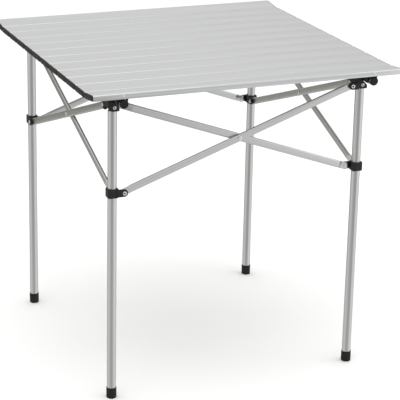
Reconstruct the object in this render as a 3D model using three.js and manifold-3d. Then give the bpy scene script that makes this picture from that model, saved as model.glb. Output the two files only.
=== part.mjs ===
// Roll-top folding table: twelve aluminium slats lie across two round rails, and the
// rails lie on four corner brackets of a folding frame. Each side of the frame is a
// scissor of two bars. Lengths are in millimetres and angles in degrees. X runs along
// the slats, Y across them towards the back and Z up. The origin is on the ground,
// below the middle of the tabletop.
import * as THREE from "three";
import { mergeVertices } from "three/addons/utils/BufferGeometryUtils.js";
import Module from "manifold-3d";

const wasm = await Module();
wasm.setup();

// Overall sizes
const table_width = 700; // along the slats
const table_depth = 700; // across the slats
const table_height = 700; // to the raised rims of the two end slats
const leg_inset = 66; // from the tabletop's edge to a leg's axis
const gap = 0.3; // between pieces that touch or slide

// Slats
const slat_count = 12;
const rim_run = 52; // level distance that an end slat covers
const slat_depth = 12.5; // top face to the underside
const slat_wall = 1.5;
const slat_edge_radius = 3.5;
const slat_lip = 5; // inward foot of each flange
const rim_rise = 6; // how far an end slat's outer edge stands above the flat slats
const seam_gap = 0.4;
const end_cap_thickness = 2; // outside the slat
const end_cap_inset = 0.25; // of a cap's outline inside the slat's
const cord_hole_radius = 3;
const cord_hole_depth = 8; // below the top face
const cord_spacing = 440; // between the two elastic cords

// Rails and the clips that hold them under the end slats
const rail_radius = 9.5;
const rail_wall = 1.2;
const rail_inset = 16; // from the tabletop's edge to the face of a cap
const rail_offset = 8; // of each rail from its legs' axes, towards +X
const rail_headroom = 0.4; // above the bars' upper ends
const rail_cap_thickness = 4;
const rail_plug_length = 12;
const clip_wall = 3.4;
const clip_block = 7; // thickness of the clip's thick cheek
const clip_length = 12;
const clip_drop = 17; // of the thick cheek below the slat
const clip_inset = 13; // from the seam to the clip
const clip_plate = 4;
const clip_rivet_radius = 1.4;
const clip_rivet_head = 3;

// Legs and feet
const leg_radius = 9.85;
const leg_wall = 1.2;
const foot_wall = 0.85;
const foot_height = 24;
const foot_base = 4;

// Scissor bars
const bar_height = 16;
const bar_thickness = 7;
const bar_plane_gap = 0.6; // between the inner and the outer bar of one side
const bar_end_room = 3; // between a slider and the bars' ends
const scissor_drop = 185.5; // from a bar's upper pivot to its lower one
const pin_radius = 2.6;
const pin_head_radius = 4.5;
const pin_head_thickness = 1.5;

// Corner brackets and sliders
const lug_thickness = 5.9;
const bracket_wall = 1.15; // beyond the leg, along X
const bracket_drop = 7; // below the upper pivots
const bracket_horn = 2.6; // above the rail's axis
const bracket_chamfer = 8; // of its lower edge towards -X
const spigot_length = 30;
const slider_wall = 1.85;
const slider_height = 20;
const eyelet_radius = 3.8;
const eyelet_shank = 2.4;
const eyelet_bore = 1.7;
const eyelet_head = 1.2; // thickness, beyond the bracket
const eyelet_rise = 1.5; // above the upper pivots

// Sizes that follow from the ones above
const flat_z = table_height - rim_rise; // top of the flat slats
const slat_underside_z = flat_z - slat_depth;
const flat_depth = table_depth - 2 * rim_run;
const slat_pitch = flat_depth / (slat_count - 2); // of the middle slats
const rim_tilt = Math.atan2(rim_rise, rim_run);
const end_slat_width = Math.hypot(rim_rise, rim_run);
const hinge_z = flat_z - slat_edge_radius;
const leg_spacing_x = table_width - 2 * leg_inset;
const leg_spacing_y = table_depth - 2 * leg_inset;
const rail_length = table_depth - 2 * rail_inset;
const rail_z = slat_underside_z - 2 * gap - rail_radius;
const top_pivot_z = rail_z - rail_radius - rail_headroom - bar_height / 2;
const slider_pivot_z = top_pivot_z - scissor_drop;
const bracket_foot_z = top_pivot_z - bracket_drop;
const bracket_top_z = rail_z + bracket_horn;
const eyelet_z = top_pivot_z + eyelet_rise;
const bracket_width = 2 * (leg_radius + bracket_wall); // along X
const slider_width = 2 * (leg_radius + gap + slider_wall);
const foot_radius = leg_radius + gap + foot_wall;
const lug_radius = bar_height / 2 - 0.1;
const plane_near = bar_plane_gap / 2; // near face of a bar, from the plane through the leg axes
const plane_far = plane_near + bar_thickness;
const lug_near = plane_far + gap;
const lug_far = lug_near + lug_thickness;
const bar_start = Math.max(slider_width / 2 + bar_end_room, lug_far + eyelet_head + gap);
const pivot_offset = bar_start + bar_height / 2; // from a leg's axis
const leg_bore = leg_radius - leg_wall;
const pin_hole_radius = pin_radius + gap;
const ROUND = 20; // facets of a tube
const SMALL = 8; // facets of a pin or a hole

// Colours, roughness and metalness of the finishes
const finish = (color, roughness, metalness) => () =>
  new THREE.MeshStandardMaterial({ color, roughness, metalness });
const slat_alloy = finish(0xb9bcbf, 0.38, 1);
const tube_alloy = finish(0xc3c6c9, 0.32, 1);
const rivet_steel = finish(0xd2d4d6, 0.28, 1);
const moulding_black = finish(0x161718, 0.55, 0);
const rubber_black = finish(0x121212, 0.8, 0);

const table = new THREE.Group();

// A closed geometry becomes a manifold solid
function solid(geometry) {
  const bare = geometry.index ? geometry.toNonIndexed() : geometry.clone();
  bare.deleteAttribute("normal");
  bare.deleteAttribute("uv");
  const merged = mergeVertices(bare, 1e-4);
  return new wasm.Manifold(
    new wasm.Mesh({
      numProp: 3,
      vertProperties: new Float32Array(merged.attributes.position.array),
      triVerts: new Uint32Array(merged.index.array),
    }),
  );
}

// A manifold solid becomes a named mesh in a group
function place(name, body, material, group = table) {
  const data = body.getMesh();
  const geometry = new THREE.BufferGeometry();
  geometry.setAttribute("position", new THREE.BufferAttribute(new Float32Array(data.vertProperties), 3));
  geometry.setIndex(new THREE.BufferAttribute(new Uint32Array(data.triVerts), 1));
  geometry.computeVertexNormals();
  const mesh = new THREE.Mesh(geometry, material());
  mesh.name = name;
  group.add(mesh);
  return mesh;
}

// A flat outline pushed along an axis. The outline's own axes are (y, z) for a push
// along x, (x, z) along y and (x, y) along z.
const push_frames = {
  x: [[0, 1, 0], [0, 0, 1], [1, 0, 0]],
  y: [[1, 0, 0], [0, 0, 1], [0, -1, 0]],
  z: [[1, 0, 0], [0, 1, 0], [0, 0, 1]],
};
function prism(shape, axis, from, to, facets = 3) {
  const geometry = new THREE.ExtrudeGeometry(shape, {
    depth: to - from,
    bevelEnabled: false,
    curveSegments: facets,
  });
  const [right, up, out] = push_frames[axis].map((v) => new THREE.Vector3(...v));
  geometry.applyMatrix4(new THREE.Matrix4().makeBasis(right, up, out));
  const shift = { x: [from, 0, 0], y: [0, to, 0], z: [0, 0, from] }[axis];
  return solid(geometry.translate(...shift));
}

const outline = (points) => new THREE.Shape(points.map(([a, b]) => new THREE.Vector2(a, b)));

function block(x0, x1, y0, y1, z0, z1) {
  const box = new THREE.BoxGeometry(x1 - x0, y1 - y0, z1 - z0);
  return solid(box.translate((x0 + x1) / 2, (y0 + y1) / 2, (z0 + z1) / 2));
}

// A round rod along an axis, through the point at
function rod(radius, axis, from, to, at, facets = SMALL) {
  const cylinder = new THREE.CylinderGeometry(radius, radius, to - from, facets);
  cylinder.translate(0, (from + to) / 2, 0);
  if (axis === "x") cylinder.rotateZ(-Math.PI / 2);
  if (axis === "z") cylinder.rotateX(Math.PI / 2);
  return solid(cylinder.translate(...at));
}

// A profile of [radius, height] points turned about Z
function turned(profile, facets = ROUND) {
  const points = profile.map(([r, z]) => new THREE.Vector2(r, z));
  return solid(new THREE.LatheGeometry(points, facets).rotateX(Math.PI / 2));
}

// --- Tabletop -----------------------------------------------------------------------

// Outer outline of a slat from y0 to y1 with its top face at z = 0; both top edges are
// round. An inset draws it smaller all round.
function slat_outline(y0, y1, inset = 0) {
  const shape = new THREE.Shape();
  const r = slat_edge_radius;
  const [a, b, foot, head] = [y0 + inset, y1 - inset, inset - slat_depth, -inset];
  shape.moveTo(a, foot);
  shape.lineTo(a, head - r);
  shape.absarc(a + r, head - r, r, Math.PI, Math.PI / 2, true);
  shape.lineTo(b - r, head);
  shape.absarc(b - r, head - r, r, Math.PI / 2, 0, true);
  shape.lineTo(b, foot);
  return shape;
}

// An open channel: its two flanges turn inward at the foot
function channel_outline(y0, y1) {
  const shape = slat_outline(y0, y1);
  const floor = -slat_depth;
  shape.lineTo(y1 - slat_lip, floor);
  shape.lineTo(y1 - slat_lip, floor + slat_wall);
  shape.lineTo(y1 - slat_wall, floor + slat_wall);
  shape.lineTo(y1 - slat_wall, -slat_wall);
  shape.lineTo(y0 + slat_wall, -slat_wall);
  shape.lineTo(y0 + slat_wall, floor + slat_wall);
  shape.lineTo(y0 + slat_lip, floor + slat_wall);
  shape.lineTo(y0 + slat_lip, floor);
  return shape;
}

// A slat with its end plugs pressed in. Its flanges have holes for the elastic cords,
// apart from an end slat's outer one.
function slat(width, is_end = false) {
  const y0 = seam_gap / 2;
  const y1 = width - seam_gap / 2;
  const half = table_width / 2;
  const inner = half - end_cap_thickness;
  let body = prism(channel_outline(y0, y1), "x", -inner, inner);
  for (const side of [-1, 1]) {
    const ends = [side * half, side * (inner - 1)].sort((a, b) => a - b);
    body = body.add(prism(slat_outline(y0, y1, end_cap_inset), "x", ...ends));
    const hole_at = [(side * cord_spacing) / 2, 0, -cord_hole_depth];
    const hole_end = is_end ? width / 2 : width + 1;
    body = body.subtract(rod(cord_hole_radius, "y", -1, hole_end, hole_at));
  }
  return body;
}

// An end slat, its clips and its rivets share a frame: the seam's hinge line is its
// X axis, and y grows towards the rim. The back one is the front one turned round.
function end_frame(front) {
  const frame = new THREE.Group();
  frame.position.set(0, ((front ? -1 : 1) * flat_depth) / 2, hinge_z);
  frame.rotation.set(rim_tilt, 0, front ? Math.PI : 0, "ZXY");
  table.add(frame);
  return frame;
}

// A saddle over a rail: a thick cheek, a thin cheek and a plate that runs to the rim,
// where a tab takes the rivet. Its walls are upright, so the tilt doesn't pinch the rail.
function rail_clip(rail_x, thick_side, rim_y) {
  const reach = rail_radius + gap + 0.1;
  const roof = -slat_wall - gap;
  const under = -slat_depth - 1;
  const saddle_end = clip_inset + clip_length;
  const thick = outline(
    [
      [reach, roof],
      [reach + clip_block, roof],
      [reach + clip_block, under - 1],
      [reach + 1.5, under - clip_drop],
      [reach, under - clip_drop],
    ].map(([a, b]) => [rail_x + thick_side * a, b]),
  );
  const thin = outline(
    [
      [-reach - clip_wall, roof],
      [-reach, roof],
      [-reach, under - clip_drop / 2],
      [-reach - 1.2, under - clip_drop / 2],
      [-reach - clip_wall, under - 1],
    ].map(([a, b]) => [rail_x + thick_side * a, b]),
  );
  const sides = [rail_x - reach - 1, rail_x + reach + 1];
  const bridge_z = -slat_depth + clip_plate;
  const tab_y = rim_y - slat_wall - gap;
  const behind_lip = rim_y - slat_lip - gap;
  return prism(thick, "y", clip_inset + gap, saddle_end)
    .add(prism(thin, "y", clip_inset + gap, saddle_end))
    .add(block(...sides, clip_inset + gap, behind_lip, bridge_z - clip_plate + gap, roof))
    .add(block(...sides, behind_lip - 1, tab_y, -slat_depth + slat_wall + gap, roof));
}

function end_slat(name, front) {
  const frame = end_frame(front);
  const top = slat_edge_radius; // the hinge line lies this far below the top face
  const body = slat(end_slat_width + seam_gap / 2, true);
  const rim_y = end_slat_width;
  const turn = front ? -1 : 1; // the front frame's x runs towards -X
  const rivet_z = -slat_depth / 2;
  let cut = body;
  for (const [side, label] of [[-1, "left"], [1, "right"]]) {
    const leg_x = (turn * side * leg_spacing_x) / 2;
    const rail_x = leg_x + turn * rail_offset;
    const shank = [rim_y - slat_wall - 6, rim_y + 1];
    cut = cut.subtract(rod(clip_rivet_radius + gap, "y", ...shank, [leg_x, 0, rivet_z]));
    const clip = rail_clip(rail_x, front ? 1 : -1, rim_y)
      .subtract(rod(clip_rivet_radius + gap, "y", ...shank, [leg_x, 0, rivet_z]));
    const where = label + (front ? "_front" : "_back");
    place("rail_clip_" + where, clip, moulding_black, frame).position.z = top;
    const rivet = rod(clip_rivet_radius, "y", shank[0] + 1, rim_y + 0.5, [leg_x, 0, rivet_z])
      .add(rod(clip_rivet_head, "y", rim_y + 0.1, rim_y + 0.8, [leg_x, 0, rivet_z]));
    place("clip_rivet_" + where, rivet, rivet_steel, frame).position.z = top;
  }
  place(name, cut, slat_alloy, frame).position.z = top;
}

function tabletop() {
  const name = (i) => "slat_" + String(i).padStart(2, "0");
  end_slat(name(1), true);
  for (let i = 2; i < slat_count; i++) {
    const y = -flat_depth / 2 + (i - 2) * slat_pitch;
    place(name(i), slat(slat_pitch), slat_alloy).position.set(0, y, flat_z);
  }
  end_slat(name(slat_count), false);
}

// --- Rails --------------------------------------------------------------------------

function rails() {
  const half = rail_length / 2;
  const plug_radius = rail_radius - rail_wall - gap;
  for (const [side, label] of [[-1, "left"], [1, "right"]]) {
    const at = [(side * leg_spacing_x) / 2 + rail_offset, 0, rail_z];
    const tube_half = half - rail_cap_thickness;
    const tube = rod(rail_radius, "y", -tube_half, tube_half, at, ROUND)
      .subtract(rod(rail_radius - rail_wall, "y", -half, half, at, ROUND));
    place("rail_" + label, tube, tube_alloy);
    for (const [end, word] of [[-1, "front"], [1, "back"]]) {
      const span = (a, b) => [end * a, end * b].sort((p, q) => p - q);
      const disc = rod(rail_radius + 0.1, "y", ...span(tube_half + gap, half), at, ROUND);
      const plug = rod(plug_radius, "y", ...span(tube_half - rail_plug_length, half - 1), at, ROUND);
      place("rail_cap_" + label + "_" + word, disc.add(plug), moulding_black);
    }
  }
}

// --- Frame --------------------------------------------------------------------------

// Corners in the order of the sides: side k runs from corner k to the next one, and a
// corner's own frame is turned by k quarter turns, so that side k leaves it along x.
const corners = [
  { name: "front_left", x: -leg_spacing_x / 2, y: -leg_spacing_y / 2 },
  { name: "front_right", x: leg_spacing_x / 2, y: -leg_spacing_y / 2 },
  { name: "back_right", x: leg_spacing_x / 2, y: leg_spacing_y / 2 },
  { name: "back_left", x: -leg_spacing_x / 2, y: leg_spacing_y / 2 },
];
const sides = ["front", "right", "back", "left"];
const quarter = (k) => (k * Math.PI) / 2;
const turn_solid = (body, k) => body.rotate([0, 0, 90 * k]);

// A lug and its pin in a corner's own frame. The bar that leaves along x lies in the
// outer plane (y < 0) or the inner one (y > 0); the lug stands on its far side.
function lug(plane, z) {
  const span = (a, b) => [plane * a, plane * b].sort((p, q) => p - q);
  const shape = new THREE.Shape();
  shape.moveTo(0, z - lug_radius);
  shape.lineTo(pivot_offset, z - lug_radius);
  shape.absarc(pivot_offset, z, lug_radius, -Math.PI / 2, Math.PI / 2, false);
  shape.lineTo(0, z + lug_radius);
  const at = [pivot_offset, 0, z];
  return prism(shape, "y", ...span(lug_near, lug_far), 6)
    .add(rod(pin_radius, "y", ...span(-1, lug_far), at))
    .add(rod(pin_head_radius, "y", ...span(-pin_head_thickness, 0), at))
    .add(rod(pin_head_radius, "y", ...span(lug_far - 1, lug_far + pin_head_thickness), at));
}

// The lug for the bar that comes from the corner before: it leaves along y
const mirror_lug = (plane, z) =>
  lug(plane, z).transform([0, 1, 0, 0, 1, 0, 0, 0, 0, 0, 1, 0, 0, 0, 0, 1]);

// A block on top of the leg with a 45 degree face that carries the rail, a chamfer
// below, a spigot in the leg's bore, and two lugs for the upper ends of two bars.
function bracket(k) {
  const w = bracket_width / 2;
  const ramp = rail_offset + rail_z - Math.SQRT2 * (rail_radius + gap); // x + z on the sloping face
  const profile = outline([
    [bracket_chamfer - lug_far, bracket_foot_z],
    [w, bracket_foot_z],
    [w, ramp - w],
    [ramp - bracket_top_z, bracket_top_z],
    [-lug_far, bracket_top_z],
    [-lug_far, bracket_foot_z + bracket_chamfer],
  ]);
  const spigot_foot = bracket_foot_z - spigot_length;
  const lugs = lug(1, top_pivot_z).add(mirror_lug(-1, top_pivot_z));
  // Both lugs stop short of the leg's middle, where the sloping face is
  const room = block(-w, w, -lug_far, lug_far, bracket_foot_z - 5, bracket_top_z + 5);
  return prism(profile, "y", -lug_far, lug_far)
    .add(turn_solid(lugs, k).subtract(room))
    .add(rod(leg_bore - gap, "z", spigot_foot, bracket_foot_z + 1, [0, 0, 0], ROUND))
    .subtract(rod(eyelet_shank + gap, "y", -lug_far - 1, lug_far + 1, [0, 0, eyelet_z]));
}

// A hollow rivet right through the bracket, with a rolled head on each face
function eyelet() {
  const end = lug_far + eyelet_head;
  const profile = [
    [eyelet_bore, -end],
    [eyelet_radius, -end],
    [eyelet_radius, -lug_far - 0.1],
    [eyelet_shank, -lug_far - 0.1],
    [eyelet_shank, lug_far + 0.1],
    [eyelet_radius, lug_far + 0.1],
    [eyelet_radius, end],
    [eyelet_bore, end],
    [eyelet_bore, -end],
  ];
  return turned(profile, 16);
}

// A collar that slides on the leg, with two lugs for the lower ends of two bars
function slider(k) {
  const w = slider_width / 2;
  const foot = slider_pivot_z - slider_height / 2;
  const head = foot + slider_height;
  const lugs = lug(-1, slider_pivot_z).add(mirror_lug(1, slider_pivot_z));
  const bore = rod(leg_radius + gap, "z", foot - 1, head + 1, [0, 0, 0], ROUND);
  return block(-w, w, -w, w, foot, head).add(turn_solid(lugs, k)).subtract(bore);
}

function leg() {
  const foot = foot_base + gap;
  const head = bracket_foot_z - gap;
  return rod(leg_radius, "z", foot, head, [0, 0, 0], ROUND)
    .subtract(rod(leg_bore, "z", foot - 1, head + 1, [0, 0, 0], ROUND));
}

function foot() {
  const bore = leg_radius + gap;
  return turned([
    [0, 0],
    [foot_radius - 1.5, 0],
    [foot_radius, 1.5],
    [foot_radius, foot_height],
    [bore, foot_height],
    [bore, foot_base],
    [0, foot_base],
  ]);
}

// A flat bar with round ends and three holes, in the frame of its side: x runs along
// the side from its middle, and the upper end is towards rise (-1 or 1)
function bar(span, plane, rise) {
  const half = Math.hypot(span / 2, (top_pivot_z - slider_pivot_z) / 2);
  const slope = Math.atan2(top_pivot_z - slider_pivot_z, span);
  const r = bar_height / 2;
  const shape = new THREE.Shape();
  shape.moveTo(-half, -r);
  shape.lineTo(half, -r);
  shape.absarc(half, 0, r, -Math.PI / 2, Math.PI / 2, false);
  shape.lineTo(-half, r);
  shape.absarc(-half, 0, r, Math.PI / 2, (3 * Math.PI) / 2, false);
  const [y0, y1] = [plane * plane_near, plane * plane_far].sort((a, b) => a - b);
  let body = prism(shape, "y", y0, y1, 6);
  for (const x of [-half, 0, half])
    body = body.subtract(rod(pin_hole_radius, "y", y0 - 1, y1 + 1, [x, 0, 0]));
  const tilt = THREE.MathUtils.radToDeg(-rise * slope);
  return body.rotate([0, tilt, 0]).translate([0, 0, (top_pivot_z + slider_pivot_z) / 2]);
}

// The rivet where two bars cross
function cross_rivet() {
  const at = [0, 0, (top_pivot_z + slider_pivot_z) / 2];
  const out = plane_far + gap;
  const tip = out + pin_head_thickness;
  return rod(pin_radius, "y", -tip, tip, at)
    .add(rod(pin_head_radius, "y", out, tip, at))
    .add(rod(pin_head_radius, "y", -tip, -out, at));
}

function frame() {
  corners.forEach((corner, k) => {
    const stand = new THREE.Group();
    stand.position.set(corner.x, corner.y, 0);
    table.add(stand);
    place("leg_" + corner.name, leg(), tube_alloy, stand);
    place("foot_" + corner.name, foot(), rubber_black, stand);
    place("bracket_" + corner.name, bracket(k), moulding_black, stand);
    place("slider_" + corner.name, slider(k), moulding_black, stand);
    const ring = place("eyelet_" + corner.name, eyelet(), rivet_steel, stand);
    ring.rotation.x = Math.PI / 2;
    ring.position.z = eyelet_z;
  });
  sides.forEach((name, k) => {
    const along_x = k % 2 === 0;
    const span = (along_x ? leg_spacing_x : leg_spacing_y) - 2 * pivot_offset;
    const out = (along_x ? leg_spacing_y : leg_spacing_x) / 2;
    const side = new THREE.Group();
    side.rotation.z = quarter(k);
    side.position.set(out * Math.sin(quarter(k)), -out * Math.cos(quarter(k)), 0);
    table.add(side);
    place(name + "_bar_inner", bar(span, 1, -1), tube_alloy, side);
    place(name + "_bar_outer", bar(span, -1, 1), tube_alloy, side);
    place(name + "_cross_rivet", cross_rivet(), rivet_steel, side);
  });
}

tabletop();
rails();
frame();

export default table;
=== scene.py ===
"""Roll-top folding table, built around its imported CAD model.

The tabletop is twelve extruded slats on two round rails. The rails lie on the corner
brackets of a frame of four legs with a scissor of two bars on each side. X runs along
the slats, Y towards the back and Z up. Everything is in metres.
"""

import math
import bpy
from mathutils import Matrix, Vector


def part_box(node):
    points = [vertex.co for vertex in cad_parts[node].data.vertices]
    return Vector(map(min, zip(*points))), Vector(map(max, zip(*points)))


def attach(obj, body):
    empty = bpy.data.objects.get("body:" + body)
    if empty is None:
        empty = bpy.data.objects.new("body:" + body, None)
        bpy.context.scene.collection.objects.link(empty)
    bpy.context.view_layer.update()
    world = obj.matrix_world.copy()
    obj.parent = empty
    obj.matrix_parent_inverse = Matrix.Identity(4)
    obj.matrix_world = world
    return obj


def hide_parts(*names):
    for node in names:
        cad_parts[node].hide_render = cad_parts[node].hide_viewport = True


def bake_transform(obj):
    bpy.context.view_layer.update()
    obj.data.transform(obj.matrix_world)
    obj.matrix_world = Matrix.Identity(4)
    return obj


bl_info = {
    "name": "Folding Table",
    "version": (1, 0, 0),
    "blender": (4, 5, 0),
    "location": "View3D > Sidebar > Folding Table",
    "description": "Adds the pieces of a roll-top folding table around its CAD frame",
    "category": "Add Mesh",
}

import bmesh
import bpy
from bpy.props import FloatProperty, FloatVectorProperty, IntProperty, PointerProperty
from bpy.types import Operator, Panel, PropertyGroup
from mathutils import Matrix, Vector

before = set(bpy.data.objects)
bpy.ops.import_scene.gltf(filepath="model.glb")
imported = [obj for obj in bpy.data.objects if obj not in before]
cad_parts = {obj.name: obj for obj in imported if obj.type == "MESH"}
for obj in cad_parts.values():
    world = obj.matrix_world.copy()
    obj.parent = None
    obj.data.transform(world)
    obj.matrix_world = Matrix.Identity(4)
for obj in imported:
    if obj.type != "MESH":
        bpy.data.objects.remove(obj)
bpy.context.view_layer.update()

MM = 0.001
X, Y, Z = Vector((1, 0, 0)), Vector((0, 1, 0)), Vector((0, 0, 1))
CORNERS = ("front_left", "front_right", "back_right", "back_left")
SIDES = ("front", "right", "back", "left")  # side k runs from corner k to the next
SLATS = tuple(sorted(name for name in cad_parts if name.startswith("slat_")))
SMOOTH_UNDER = math.radians(35)
GAP = 0.3 * MM  # between pieces that touch or slide
BRACKET_HALF = 11 * MM  # from a leg's axis to its bracket's face behind a lug
LUG_ROOT = 2.5 * MM  # how deep a lug is sunk in its bracket
LUG_PROUD = 0.12 * MM  # how far the lugs stand out from the bracket's sides
EYELET_HOLE = 2.7 * MM  # radius of a bracket's hole for its hollow rivet
CLIP_RIVET_HOLE = 1.7 * MM  # radius of an end slat's hole for a clip's rivet
KNOT_AT = 11 * MM  # from the last seam to the knot that ends a cord
CORNER_MERGE = 0.05 * MM  # joins the points where two rounded corners meet


def srgb(code):
    """A hex colour as linear light, with full alpha."""
    parts = [int(code[i : i + 2], 16) / 255 for i in (1, 3, 5)]
    linear = [c / 12.92 if c <= 0.04045 else ((c + 0.055) / 1.055) ** 2.4 for c in parts]
    return (*linear, 1.0)


def length(name, description, default_mm):
    return FloatProperty(
        name=name,
        description=description,
        default=default_mm * MM,
        min=0,
        precision=2,
        unit="LENGTH",
    )


def colour(name, description, code):
    return FloatVectorProperty(
        name=name,
        description=description,
        default=srgb(code),
        size=4,
        min=0,
        max=1,
        subtype="COLOR",
    )


def share(name, description, default):
    return FloatProperty(
        name=name, description=description, default=default, min=0, max=1, subtype="FACTOR"
    )


# --- What a user would change ---------------------------------------------------------


class TabletopSizes(PropertyGroup):
    seam_gap: length("Seam gap", "Gap between two slats at rest", 0.4)
    wall: length("Slat wall", "Wall of the extruded channel", 1.5)
    edge_radius: length("Edge radius", "Round of a slat's two top edges", 3.5)
    lip: length("Lip", "Inward foot of each flange", 5)
    rim_rise: length("Rim rise", "How far an end slat's outer edge stands up", 6)
    rim_run: length("Rim run", "Level distance that an end slat covers", 52)
    cap_thickness: length("Cap thickness", "Part of an end cap outside the slat", 2)
    cap_shy: length("Cap shyness", "How far a cap's face stays inside each flange", 1.4)
    cap_plug: length("Cap plug", "Part of an end cap inside the slat", 12)
    cord_radius: length("Cord radius", "Elastic cord that strings the slats", 1.6)
    cord_drop: length("Cord drop", "Depth of the cord below the top face", 8)
    cord_spacing: length("Cord spacing", "Distance between the two cords", 440)
    cord_hole: length("Cord hole", "Radius of the holes for the cord", 3)


class RailSizes(PropertyGroup):
    wall: length("Rail wall", "Wall of a rail tube", 1.2)
    reach: length("Saddle half width", "From the rail's axis to a clip's cheek", 9.9)
    cheek: length("Thick cheek", "Thickness of a clip's thick cheek", 7)
    thin: length("Thin cheek", "Thickness of a clip's thin cheek", 3.4)
    drop: length("Cheek drop", "Thick cheek below the slat", 17)
    inset: length("Clip inset", "From the seam to a clip", 13)
    saddle: length("Saddle length", "Length of a clip's saddle", 12)
    soft: length("Clip edges", "Round of a clip's moulded edges", 0.8)
    rivet_head: length("Rivet head", "Radius of the rivet that holds a clip", 3)


class FrameSizes(PropertyGroup):
    leg_wall: length("Leg wall", "Wall of a leg tube", 1.2)
    bar_height: length("Bar height", "Width of a scissor bar", 16)
    bar_thickness: length("Bar thickness", "Thickness of a scissor bar", 7)
    bar_near: length("Bar plane", "From the leg axes' plane to a bar's near face", 0.3)
    pressed: length("Pressed end", "Thickness of a bar's pressed end", 3.6)
    pivot_offset: length("Pivot offset", "From a leg's axis to a bar's pivot", 23)
    pivot_below: length("Upper pivots", "Upper pivots below the eyelet", 1.5)
    lug_near: length("Lug near face", "From the leg axes' plane to a lug's near face", 7.6)
    lug_far: length("Lug far face", "From the leg axes' plane to a lug's far face", 13.5)
    lug_radius: length("Lug radius", "Round end of a lug", 7.9)
    bracket_foot: length("Bracket foot", "Bracket foot below the upper pivots", 7)
    bracket_chamfer: length("Bracket chamfer", "Of a bracket's lower edge towards -X", 8)
    moulded_edge: length("Moulded edges", "Round of the brackets' and sliders' edges", 0.9)
    slider_half: length("Slider half width", "From a leg's axis to its slider's face", 12)
    slider_corner: length("Slider corners", "Round of a slider's upright corners", 5)
    rivet_radius: length("Rivet radius", "Shank of a pivot rivet", 2.6)
    rivet_head: length("Rivet head", "Radius of a pivot rivet's head", 4.5)
    facets: IntProperty(
        name="Facets", description="Facets round a tube", default=48, min=12, max=128
    )


class Finishes(PropertyGroup):
    slat: colour("Slats", "Clear anodised extrusion", "#d0d1d0")
    slat_line: colour("Slat lines", "Die lines of the extrusion", "#c5c7c6")
    slat_roughness: share("Slat roughness", "Etched and anodised", 0.4)
    tube: colour("Tubes", "Clear anodised tube", "#d0d1d1")
    tube_line: colour("Tube lines", "Draw lines of the tube", "#bfc0bf")
    tube_roughness: share("Tube roughness", "Satin", 0.32)
    rivet: colour("Rivets", "Bright aluminium", "#e2e3e4")
    nylon: colour("Black mouldings", "Moulded black nylon", "#141514")
    rubber: colour("Feet", "Black rubber", "#141414")
    cord: colour("Cords", "Braided elastic", "#1c1c1d")


# --- Modelling helpers ----------------------------------------------------------------


def deselect():
    bpy.ops.object.select_all(action="DESELECT")


def only(piece):
    """Selects a piece and nothing else."""
    deselect()
    piece.select_set(True)
    bpy.context.view_layer.objects.active = piece


def apply_place():
    bpy.ops.object.transform_apply(location=True, rotation=True, scale=True)


def block(low, high):
    """A box between two corners."""
    low, high = Vector(low), Vector(high)
    deselect()
    bpy.ops.mesh.primitive_cube_add(size=1, location=(low + high) / 2, scale=high - low)
    apply_place()
    return bpy.context.object


def rod(radius, start, end, facets=32):
    """A round bar between two points."""
    start, end = Vector(start), Vector(end)
    deselect()
    turn = Z.rotation_difference(end - start).to_euler()
    bpy.ops.mesh.primitive_cylinder_add(
        vertices=facets,
        radius=radius,
        depth=(end - start).length,
        location=(start + end) / 2,
        rotation=turn,
    )
    apply_place()
    return bpy.context.object


def edit(piece):
    only(piece)
    bpy.ops.object.mode_set(mode="EDIT")


def leave():
    bpy.ops.object.mode_set(mode="OBJECT")


def pick_all():
    bpy.ops.mesh.select_all(action="SELECT")


def merge(threshold):
    """Merges the points of the piece in edit mode that lie this close together."""
    pick_all()
    bpy.ops.mesh.remove_doubles(threshold=threshold)


def face_outwards():
    """Turns every face of the piece in edit mode outwards."""
    pick_all()
    bpy.ops.mesh.normals_make_consistent(inside=False)


def bevel(offset, segments):
    """Rounds the picked edges."""
    bpy.ops.mesh.bevel(offset=offset, segments=segments, affect="EDGES")


def pick(piece, kind, test):
    """Selects the elements of a piece in edit mode that pass a test."""
    bpy.ops.mesh.select_mode(type=kind)
    bpy.ops.mesh.select_all(action="DESELECT")
    shape = bmesh.from_edit_mesh(piece.data)
    elements = {"VERT": shape.verts, "EDGE": shape.edges, "FACE": shape.faces}[kind]
    for element in elements:
        if test(element):
            element.select_set(True)
    shape.select_flush_mode()
    bmesh.update_edit_mesh(piece.data)


def runs(edge, axis):
    """True where an edge is parallel to an axis."""
    along = edge.verts[1].co - edge.verts[0].co
    return abs(along.normalized().dot(axis)) > 0.999


def middle(edge):
    return (edge.verts[0].co + edge.verts[1].co) / 2


def finish_with(piece, kind, **settings):
    """Adds a modifier and applies it."""
    only(piece)
    modifier = piece.modifiers.new(kind.title(), kind)
    for name, value in settings.items():
        setattr(modifier, name, value)
    bpy.ops.object.modifier_apply(modifier=modifier.name)


def soften(piece, width, segments=3, angle=30):
    """Rounds every sharp edge."""
    finish_with(
        piece,
        "BEVEL",
        width=width,
        segments=segments,
        limit_method="ANGLE",
        angle_limit=math.radians(angle),
    )


def combine(piece, tool, operation):
    """Joins or cuts a piece with a tool, which is used up."""
    finish_with(piece, "BOOLEAN", object=tool, operation=operation, solver="EXACT")
    bpy.data.objects.remove(tool)


def close_slits(piece):
    """Closes the hair-thin slits that a join of coarse faces can leave."""
    edit(piece)
    merge(2e-6)
    bpy.ops.mesh.dissolve_degenerate(threshold=1e-6)
    pick_all()
    bpy.ops.mesh.fill_holes(sides=0)
    leave()


def slice_off(piece, point, outwards):
    """Cuts a piece with a plane and closes the cut. What lies outwards is lost."""
    edit(piece)
    pick_all()
    bpy.ops.mesh.bisect(
        plane_co=point,
        plane_no=Vector(outwards).normalized(),
        threshold=1e-6,
        use_fill=True,
        clear_outer=True,
    )
    leave()


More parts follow.
